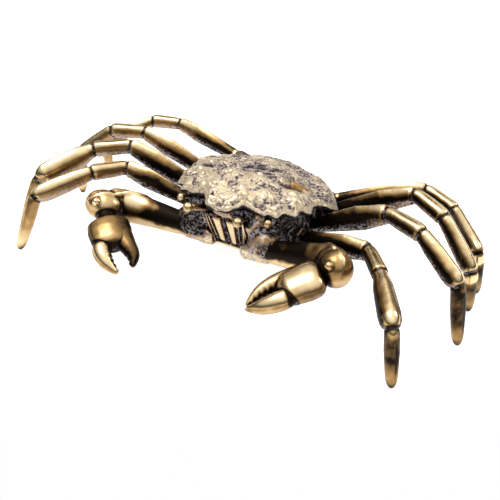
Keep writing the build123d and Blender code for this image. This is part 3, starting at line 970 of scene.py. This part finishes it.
def make_mouth_plate(side, name):
    """A plate's mesh and how dark each of its points is."""
    down = np.linspace(0, 1, plate_rows)[:, None]
    x = np.linspace(plate_inner, plate_outer, plate_columns) * np.ones_like(down)

    def line(ends):
        return ends[0] + (ends[1] - ends[0]) * down

    round_foot = down + foot_rise * ((x - foot_middle) / foot_half) ** 2
    foot = fade(*foot_reach, round_foot) * fade(*top_reach, down)
    tongue = fade(0, edge_softness, x - line(tongue_inner))
    tongue = tongue * fade(0, edge_softness, line(tongue_outer) - x)
    height = tongue_height * tongue * foot - ground_depth
    height += rib_height * bump(x - line(rib_line), rib_width) * foot
    height += cheek_height * fade(0, edge_softness, x - line(cheek_line))
    rim = cheek_height * fade(*rim_reach, down)
    height = np.maximum(height, rim - ground_depth)
    shade = ground_tone - raised_light * fade(*raised_heights, height)
    height *= fade(plate_outer, plate_outer - outer_softness, x)
    below = plate_top + (plate_bottom - plate_top) * down * np.ones_like(x)
    rake = radians(face_rake)
    outward = np.array((0, -cos(rake), -sin(rake)))
    downward = np.array((0, sin(rake), -cos(rake)))
    ground = np.array(face_top) + side * x[..., None] * (1, 0, 0) + below[..., None] * downward
    front = ground + height[..., None] * outward
    back = ground - plate_back * outward
    points, faces = skin(np.concatenate((front, back[:, ::-1]), axis=1))
    shade = np.concatenate((shade, np.ones_like(shade)), axis=1).ravel()
    return mesh_object(name, points, faces), np.append(shade, (1.0, 1.0))


mouth_shades = {}
for side_name, side in sides.items():
    name = f"mouth_plate_{side_name}"
    small[name], mouth_shades[name] = make_mouth_plate(side, f"cast_{name}")

# %% [markdown]
# ## Where the metal is bright
#
# Buffing reaches ridges, and hollows keep the dark patina. Upward faces are lighter and steep faces
# darker as painted reflection of the bright top and dark walls of the studio, and several parts
# carry painted shade as well. Each mesh stores that as two numbers at every point: `tone`, from
# bright to black, and `grain`, from polished to rough. The shell stores a third one, `stain`. Relief
# is measured against a smoothed copy of the mesh, so ridges and grooves are found.

# %% Tone and grain at every point
# How dark steep faces are, as painted reflection of the dark studio walls, how dark hollows are,
# how bright ridges are, how strong slow patches are and how rough the underside is. A leg's first
# and last value change along it.
leg_wear = (0.7, 0.75, 0.13)
arm_wear_and_shade = (0.25, 0.9, 0.4, 0.34, 0.1)
hand_wear_and_shade = (0.6, 0.9, 0.4, 0.22, 0.4)
body_wear_and_shade = (0.2, 0.5, 0.25, 0.25, 0.7)
mouth_wear = (0.0, 0.3, 0.2, 0.05, 0.2)
small_wear_and_shade = (0.25, 0.9, 0.8, 0.15, 0.7)
# What a toe loses of its leg's steep dark, the tone of the smallest castings, the plates' grain
toe_loss, small_tone, mouth_grain = 0.5, 0.15, 0.4
# Rounds of smoothing to measure relief against, noise added to the slope, and size of the patches
relief_rounds, shell_rounds = 8, 10
slope_noise, patch_size = (0.07, 1.6, 7.0), 3.0
# Depths and heights in mm, and slopes, where each effect starts and is full
hollow_depths, ridge_heights, rough_depths = (0.01, 0.06), (0.015, 0.07), (0.04, 0.12)
# The underside's light is a painted reflection of the floor
under_slopes, under_reflection_light, hollow_grain = (0.1, -0.35), 0.35, 0.5
# Places on the body in mm, sideways, from front to back and up, where each part starts and is full
pale_sides, pale_front, pale_noise = (8.4, 5.8), (-1.0, -3.0), (0.8, 1.2, 4.0)
# The right shoulder and the eyes' hollows keep painted shade
shoulder_sides, orbit_dark = (3.2, 4.2), (1.7, 2.4)
rim_heights, rim_front = (6.6, 5.4), (2.0, -1.0)
# The body's tone, dark as patina and painted shade under the shell, and grain, and what its pale
# front and its lower rim change
body_tone, pale_light, rim_light, body_grain, pale_grain = 0.95, 0.6, 0.8, 0.3, 0.6
# The shell's tone and grain at rest, on rough ground, in hollows and on its side, where the dark
# is painted shade; its stain
shell_tones, shell_grains, stain_share = (0.08, 0.3, 0.45, 0.95), (0.22, 0.78, 0.0, 0.4), 1.6
shell_side_slopes, shell_hollow_depths = (0.30, 0.0), (0.01, 0.12)


def relief_of(points, edges, normals, rounds):
    """Millimetres below the smoothed surface: more than zero in hollows, less on ridges."""
    return np.einsum("ij,ij->i", relax(points, edges, rounds, 1.0) - points, normals)


def store(mesh, name, values):
    layer = mesh.attributes.new(name, "FLOAT", "POINT")
    layer.data.foreach_set("value", np.clip(values, 0, 1).astype(np.float32))


def weather_and_shade(piece, wear_and_shade, base=0.0, rough=0.0, slopes=(0.75, 0.1)):
    """Stores tone and grain from slope, relief and slow patches, over a base at each point; the
    slope
    terms are painted reflection: steep faces darker, downward faces lighter.
    """
    steep, hollow, ridge, patch, under_grain = wear_and_shade
    points, edges, normals = mesh_arrays(piece.data)
    relief = relief_of(points, edges, normals, relief_rounds)
    relief -= np.median(relief)
    up = normals[:, 2] + noises(points, [slope_noise])
    # Steep faces darker: painted reflection of the dark studio walls
    tone = base + steep * fade(*slopes, up)
    tone += hollow * fade(*hollow_depths, relief)
    tone -= ridge * fade(*ridge_heights, -relief)
    tone += patch * noise_at(points, patch_size, 2.0)
    under = fade(*under_slopes, up)
    # Downward faces lighter: painted reflection of the floor
    tone -= under_reflection_light * under * steep
    grain = rough + under_grain * under + hollow_grain * fade(*rough_depths, relief)
    store(piece.data, "tone", tone)
    store(piece.data, "grain", grain)


def body_shade(own):
    """The body's base tone and roughness: dark as patina and painted shade under the shell, pale on
    the lower front, with painted shade in the eyes' hollows and on the right shoulder.
    """
    beside = np.abs(own[:, 0])
    ragged = beside + noises(own, [pale_noise])
    pale = fade(*pale_sides, ragged) * fade(*pale_front, own[:, 1])
    shoulder_tone = np.where(own[:, 0] > 0, shoulder_tones[1], shoulder_tones[-1])
    pale *= 1 - shoulder_tone * fade(*shoulder_sides, beside)
    pale *= fade(*orbit_dark, orbit_distance(own))
    rim = fade(*rim_heights, own[:, 2]) * fade(*rim_front, own[:, 1])
    return body_tone - pale_light * pale - rim_light * rim, body_grain + pale_grain * pale


for name, (leg, shade, toe) in legs.items():
    side = sides[name.split("_")[-1]]
    wear_and_shade = (leg_steeps[side] * (1 - toe_loss * toe), *leg_wear, 1 - toe)
    weather_and_shade(leg, wear_and_shade, shade, slopes=leg_slopes[side])
for arm, shade in arms.values():
    weather_and_shade(arm, arm_wear_and_shade, shade)
for piece, shade in (*hands.values(), *fingers.values()):
    weather_and_shade(piece, hand_wear_and_shade, shade)
for name, piece in small.items():
    if name == "body":
        weather_and_shade(piece, body_wear_and_shade, *body_shade(mesh_arrays(piece.data)[0] - shift))
    elif name in mouth_shades:
        weather_and_shade(piece, mouth_wear, mouth_shades[name], mouth_grain * mouth_shades[name])
    else:
        weather_and_shade(piece, small_wear_and_shade, small_tone)

points, edges, normals = mesh_arrays(shell.data)
effects = np.array((
    np.ones(len(points)),
    1 - shell_island,
    fade(*shell_hollow_depths, relief_of(points, edges, normals, shell_rounds)),
    # Painted shade on the steep sides and underside
    fade(*shell_side_slopes, normals[:, 2]),
))
store(shell.data, "tone", shell_tones @ effects + shell_shade)
store(shell.data, "grain", shell_grains @ effects)
store(shell.data, "stain", stain_share * shell_stain)
print("weathered pieces:", len((*legs, *arms, *hands, *fingers, *small, shell)))

# %% [markdown]
# ## The brass
#
# Two effects are shared by both finishes, so each is a node group. The patina group turns tone into
# colour and roughness, broken up by noise, and darkens it as painted shade where another surface is
# near. `Cast grain` gives the fine pitting as a height and a speckle.

# %% Node groups
# Noise scales in lumps per metre, and the noise values between which the speckle sets in
fine_scale, coarse_scale, cloud_scale = 2500.0, 1400.0, 900.0
speckle_edges = (0.48, 0.56)
# How near another surface darkens the tone as painted shade, in metres
occlusion_reach = 0.003


def fill(tree, inputs, values):
    """Sets inputs by name or number, each to a number or a colour, or links them to an output."""
    for name, value in dict(values).items():
        if isinstance(value, bpy.types.NodeSocket):
            tree.links.new(value, inputs[name])
        else:
            inputs[name].default_value = (*value, 1) if isinstance(value, tuple) else value


def add(tree, kind, values=()):
    node = tree.nodes.new(f"ShaderNode{kind}")
    fill(tree, node.inputs, values)
    return node


def maths(tree, operation, *values, clamp=True):
    node = add(tree, "Math", enumerate(values))
    node.operation = operation
    node.use_clamp = clamp
    return node.outputs[0]


def map_range(tree, value, **ends):
    named = {name.replace("_", " ").title(): end for name, end in ends.items()}
    return add(tree, "MapRange", {"Value": value, **named}).outputs[0]


def noise_node(tree, scale, detail):
    place = add(tree, "TexCoord").outputs["Object"]
    return add(tree, "TexNoise", {"Vector": place, "Scale": scale, "Detail": detail}).outputs["Fac"]


def mix_colour(tree, share, first, second):
    node = add(tree, "Mix", {"Factor": share})
    node.data_type = "RGBA"
    fill(tree, {s.name: s for s in node.inputs if s.type == "RGBA"}, {"A": first, "B": second})
    return next(s for s in node.outputs if s.type == "RGBA")


def new_group(name, inputs, outputs):
    """A node group with its sockets, a colour being three numbers, and its two end nodes."""
    group = bpy.data.node_groups.new(name, "ShaderNodeTree")
    for way, sockets in (("INPUT", inputs), ("OUTPUT", outputs)):
        for socket_name, value in sockets.items():
            kind = "NodeSocketColor" if isinstance(value, tuple) else "NodeSocketFloat"
            made = group.interface.new_socket(name=socket_name, in_out=way, socket_type=kind)
            fill(group, {socket_name: made}, {socket_name: value})
    start, end = (group.nodes.new(f"NodeGroup{way}") for way in ("Input", "Output"))
    return group, start.outputs, end.inputs


def make_grain_group():
    group, start, end = new_group(
        "Cast grain", {"Scale": fine_scale, "Grain": 0.5}, {"Height": 0.0, "Speckle": 0.0}
    )
    fine = noise_node(group, start["Scale"], 3.0)
    coarse = noise_node(group, coarse_scale, 2.0)
    ramp = add(group, "ValToRGB", {"Fac": fine})
    for element, position in zip(ramp.color_ramp.elements, speckle_edges):
        element.position = position
    speckle = maths(group, "MULTIPLY", ramp.outputs["Color"], start["Grain"])
    height = maths(group, "MULTIPLY", maths(group, "ADD", fine, coarse), start["Grain"])
    fill(group, end, {"Height": height, "Speckle": speckle})
    return group


def make_patina_and_shade_group():
    colours = dict.fromkeys(("Bright", "Warm", "Dark"), (0.5, 0.4, 0.2))
    group, start, end = new_group(
        "Patina and shade",
        {"Tone": 0.5, **colours, "Break-up": 0.3, "Occlusion reach": occlusion_reach},
        {"Color": (0.0, 0.0, 0.0), "Roughness": 0.5},
    )
    cloud = maths(group, "SUBTRACT", noise_node(group, cloud_scale, 4.0), 0.5, clamp=False)
    # Ambient occlusion: painted shade in crevices, between parts and near the floor
    occlusion = add(group, "AmbientOcclusion", {"Distance": start["Occlusion reach"]})
    occlusion.samples = 12
    occlusion_shade = map_range(group, occlusion.outputs["AO"], from_min=0.85, from_max=0.35)
    tone_with_shade = maths(group, "ADD", start["Tone"], occlusion_shade)
    tone = maths(group, "MULTIPLY_ADD", cloud, start["Break-up"], tone_with_shade, clamp=False)
    low = map_range(group, tone, from_max=0.5)
    high = map_range(group, tone, from_min=0.4, from_max=0.9)
    warm = mix_colour(group, low, start["Bright"], start["Warm"])
    colour = mix_colour(group, high, warm, start["Dark"])
    roughness = map_range(group, tone, to_min=0.18, to_max=0.42)
    fill(group, end, {"Color": colour, "Roughness": roughness})
    return group


grain_group = make_grain_group()
patina_and_shade_group = make_patina_and_shade_group()
print("node groups:", grain_group.name, patina_and_shade_group.name)

# %% [markdown]
# A finish puts both groups in front of a metallic Principled shader. The speckle pulls the colour
# towards a grey-lilac in rough places, as dry patina scatters light there instead of mirroring it.

# %% The two finishes
stain_colour = (0.42, 0.23, 0.06)
grain_depth, grain_strength = 0.10, 0.6


def attribute(tree, name):
    node = add(tree, "Attribute")
    node.attribute_name = name
    return node.outputs["Fac"]


def new_material(name):
    """A material, its tree and the inputs of its shader."""
    material = bpy.data.materials.new(name)
    material.use_nodes = True
    tree = material.node_tree
    return material, tree, tree.nodes["Principled BSDF"].inputs


def group_node(tree, group, values):
    node = add(tree, "Group")
    node.node_tree = group
    fill(tree, node.inputs, values)
    return node.outputs


def finish(name, bright, warm, dark, dry, break_up, dullness, metallic):
    """A material from three colours of patina and painted shade, and the dry one; how broken, dull
    and metallic it is.
    """
    material, tree, shader = new_material(name)
    rough_place = attribute(tree, "grain")
    grain = group_node(tree, grain_group, {"Grain": rough_place})
    colours = {"Bright": bright, "Warm": warm, "Dark": dark}
    settings = {"Tone": attribute(tree, "tone"), **colours, "Break-up": break_up}
    # Tone to colour, darkened by the painted shade of ambient occlusion
    patina_and_shade = group_node(tree, patina_and_shade_group, settings)
    stained = mix_colour(tree, attribute(tree, "stain"), patina_and_shade["Color"], stain_colour)
    matt = maths(tree, "MULTIPLY", rough_place, dullness)
    pits = {"Distance": grain_depth * mm, "Strength": grain_strength, "Height": grain["Height"]}
    fill(tree, shader, {
        "Metallic": metallic,
        "Base Color": mix_colour(tree, grain["Speckle"], stained, dry),
        "Roughness": maths(tree, "ADD", patina_and_shade["Roughness"], matt),
        "Normal": add(tree, "Bump", pits).outputs["Normal"],
    })
    return material


brass = finish("antique brass", (0.91, 0.70, 0.40), (0.46, 0.275, 0.105), (0.014, 0.009, 0.006),
               (0.46, 0.41, 0.43), 0.35, 0.2, 1.0)
speckled = finish("speckled brass", (0.98, 0.79, 0.51), (0.52, 0.44, 0.41), (0.02, 0.017, 0.02),
                  (0.075, 0.06, 0.075), 0.45, 0.7, 0.55)

replaced = {"shell": shell, **small, **{name: leg for name, (leg, _, _) in legs.items()}}
for side_name in sides:
    for part, made in (("arm", arms), ("hand", hands), ("finger", fingers)):
        replaced[f"claw_{part}_{side_name}"] = made[side_name][0]
for node, piece in replaced.items():
    piece.data.materials.clear()
    piece.data.materials.append(speckled if node == "shell" else brass)
    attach(piece, "root")
    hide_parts(node)
print("nodes replaced:", len(replaced))

# %% [markdown]
# ## Floor, light and camera
#
# The floor is white and keeps a faint shadow. A soft lamp hangs above the crab, and a weaker one
# stands behind it. The world is pale above and darker towards the horizon, as a studio with dark
# walls is, so the polished metal has something to mirror. The camera looks from the crab's front
# left and well above.

# %% Floor
floor_half = 2.0
floor_white = (0.9, 0.9, 0.9)
# How much light the floor adds where the camera sees it and where the metal mirrors it
floor_seen, floor_mirrored = 0.8, 0.38


def make_floor():
    corners = floor_half * np.array(((-1, -1, 0), (1, -1, 0), (1, 1, 0), (-1, 1, 0)))
    floor = mesh_object("floor", corners / mm - shift, [(0, 1, 2, 3)])
    material, tree, shader = new_material("floor")
    path = add(tree, "LightPath").outputs
    mirrored = maths(tree, "MULTIPLY", path["Is Glossy Ray"], floor_mirrored)
    seen = maths(tree, "MULTIPLY", path["Is Camera Ray"], floor_seen)
    fill(tree, shader, {
        "Base Color": floor_white,
        "Roughness": 1.0,
        "Specular IOR Level": 0.0,
        "Emission Color": (1, 1, 1),
        "Emission Strength": maths(tree, "ADD", seen, mirrored),
    })
    floor.data.materials.append(material)


make_floor()

# %% World and lamps
# Height from straight below, 0, to straight above, 1, and the world's brightness there
studio_stops = ((0.0, 0.35), (0.44, 0.10), (0.63, 0.05), (0.77, 0.65), (1.0, 1.35))
# Place and size in metres, and power
lamps = {
    "soft lamp": ((-0.12, -0.05, 0.36), 0.22, 0.55),
    "far lamp": ((0.25, 0.25, 0.25), 0.18, 0.25),
}


def make_world():
    """White where the camera looks straight at it, and a studio in the mirror of the metal."""
    world = bpy.data.worlds.new("studio")
    bpy.context.scene.world = world
    world.use_nodes = True
    tree = world.node_tree
    tree.nodes.clear()
    split = add(tree, "SeparateXYZ", {0: add(tree, "TexCoord").outputs["Generated"]})
    ramp = add(tree, "ValToRGB", {"Fac": map_range(tree, split.outputs["Z"], from_min=-1)})
    for _ in range(len(studio_stops) - 2):
        ramp.color_ramp.elements.new(0.5)
    for element, (position, value) in zip(ramp.color_ramp.elements, studio_stops):
        element.position = position
        element.color = (value, value, value, 1)
    studio = add(tree, "Background", {"Color": ramp.outputs["Color"]})
    seen = add(tree, "Background", {"Color": (1, 1, 1)})
    looks = add(tree, "LightPath").outputs["Is Camera Ray"]
    mix = add(tree, "MixShader", {0: looks, 1: studio.outputs[0], 2: seen.outputs[0]})
    add(tree, "OutputWorld", {"Surface": mix.outputs[0]})


def make_lamp(name, place, size, power):
    light = bpy.data.lights.new(name, "AREA")
    light.size = size
    light.energy = power
    lamp = new_object(name, light)
    lamp.location = place
    lamp.rotation_euler = (-Vector(place)).to_track_quat("-Z", "Y").to_euler()


make_world()
for name, settings in lamps.items():
    make_lamp(name, *settings)
print("lamps:", [item.name for item in bpy.data.lights])

# %% Camera
camera_azimuth = 30.5
camera_elevation = 34.0
camera_distance = 132.16
camera_target = np.array((0.9, 1.1, 1.4)) + shift
camera_sensor, camera_lens = 36.0, 57.6


def make_camera():
    data = bpy.data.cameras.new("camera")
    data.sensor_width = camera_sensor
    data.lens = camera_lens
    camera = new_object("camera", data)
    back = -direction(camera_azimuth + 90, -camera_elevation)
    camera.location = (camera_target + back * camera_distance) * mm
    camera.rotation_euler = Vector(-back).to_track_quat("-Z", "Y").to_euler()
    bpy.context.scene.camera = camera
    return camera


camera = make_camera()
bpy.context.scene.view_settings.view_transform = "Standard"
print("camera at", [round(value, 4) for value in camera.location])
